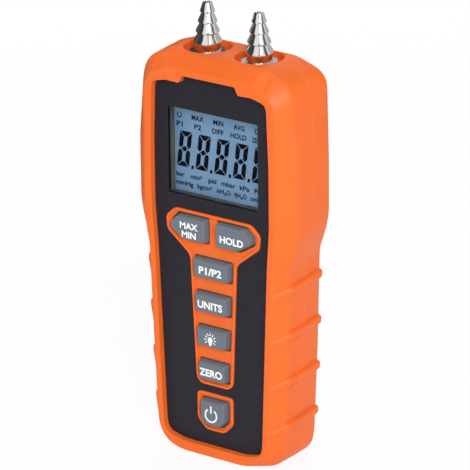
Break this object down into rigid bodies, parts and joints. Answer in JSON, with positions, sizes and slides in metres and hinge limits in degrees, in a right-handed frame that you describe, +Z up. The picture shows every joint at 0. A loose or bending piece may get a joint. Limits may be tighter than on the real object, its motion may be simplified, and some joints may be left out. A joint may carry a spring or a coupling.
{
  "type": "digital manometer",
  "caption": "Handheld digital differential pressure meter with barbed hose ports on top, a display window, sprung keys and a screwed battery door.",
  "frame": {"origin": "centre of the foot that the meter stands on, under the plane where the two covers part and which holds the port axes", "axes": "+Z up along the meter to the hose ports, -Y out of the face with the display and keys, +X to the right of someone who reads the display"},
  "size_m": [0.0762, 0.0326, 0.1806],
  "materials": {
    "cover_orange": "satin moulded plastic, finely textured",
    "panel_black": "printed polyester overlay, matt",
    "lens_clear": "clear polished acrylic",
    "frame_black": "matt moulded plastic",
    "lcd_glass": "reflective display behind a polariser",
    "backlight_white": "white light guide",
    "strip_rubber": "striped elastomer connector",
    "key_grey": "soft-touch moulded plastic, matt",
    "membrane_rubber": "silicone",
    "board_green": "solder resist over glass fibre laminate",
    "chip_black": "matt moulding compound",
    "screw_steel": "zinc plated",
    "sensor_white": "matt moulded plastic",
    "tube_silicone": "milky silicone tube",
    "port_plated": "turned and nickel plated",
    "nut_brass": "turned brass",
    "seal_rubber": "matt black rubber",
    "contact_nickel": "nickel plated spring steel",
    "cell_wrap": "plain shrink wrap"
  },
  "bodies": {
    "housing": {"front_cover": "cover_orange", "rear_cover": "cover_orange", "parting_seal": "seal_rubber", "face_panel": "panel_black", "display_lens": "lens_clear", "lcd_frame": "frame_black", "lcd_glass": "lcd_glass", "backlight_panel": "backlight_white", "contact_strips": "strip_rubber", "keypad_membrane": "membrane_rubber", "main_board": "board_green", "board_chips": "chip_black", "board_screws": "screw_steel", "pressure_sensor_p1": "sensor_white", "pressure_sensor_p2": "sensor_white", "sensor_tube_p1": "tube_silicone", "sensor_tube_p2": "tube_silicone", "port_barb_p1": "port_plated", "port_barb_p2": "port_plated", "port_gaskets": "seal_rubber", "port_nuts": "nut_brass", "buzzer": "chip_black", "battery_contacts": "contact_nickel", "battery_cells": "cell_wrap", "case_screws": "screw_steel"},
    "key_max_min": {"key_max_min": "key_grey"},
    "key_hold": {"key_hold": "key_grey"},
    "key_p1_p2": {"key_p1_p2": "key_grey"},
    "key_units": {"key_units": "key_grey"},
    "key_light": {"key_light": "key_grey"},
    "key_zero": {"key_zero": "key_grey"},
    "key_power": {"key_power": "key_grey"},
    "battery_door": {"battery_door": "cover_orange", "battery_door_screws": "screw_steel"}
  },
  "joints": [
    {"name": "press_max_min", "type": "slide", "parent": "housing", "child": "key_max_min", "axis": [0, 1, 0], "range_m": [0, 0.0008], "stiffness_N_per_m": 1500, "springref_m": -0.0003},
    {"name": "press_hold", "type": "slide", "parent": "housing", "child": "key_hold", "axis": [0, 1, 0], "range_m": [0, 0.0008], "stiffness_N_per_m": 1500, "springref_m": -0.0003},
    {"name": "press_p1_p2", "type": "slide", "parent": "housing", "child": "key_p1_p2", "axis": [0, 1, 0], "range_m": [0, 0.0008], "stiffness_N_per_m": 1500, "springref_m": -0.0003},
    {"name": "press_units", "type": "slide", "parent": "housing", "child": "key_units", "axis": [0, 1, 0], "range_m": [0, 0.0008], "stiffness_N_per_m": 1500, "springref_m": -0.0003},
    {"name": "press_light", "type": "slide", "parent": "housing", "child": "key_light", "axis": [0, 1, 0], "range_m": [0, 0.0008], "stiffness_N_per_m": 1500, "springref_m": -0.0003},
    {"name": "press_zero", "type": "slide", "parent": "housing", "child": "key_zero", "axis": [0, 1, 0], "range_m": [0, 0.0008], "stiffness_N_per_m": 1500, "springref_m": -0.0003},
    {"name": "press_power", "type": "slide", "parent": "housing", "child": "key_power", "axis": [0, 1, 0], "range_m": [0, 0.0008], "stiffness_N_per_m": 1500, "springref_m": -0.0003},
    {"name": "door_lift", "type": "slide", "parent": "housing", "child": "battery_door", "axis": [0, 1, 0], "range_m": [0, 0.03]}
  ]
}
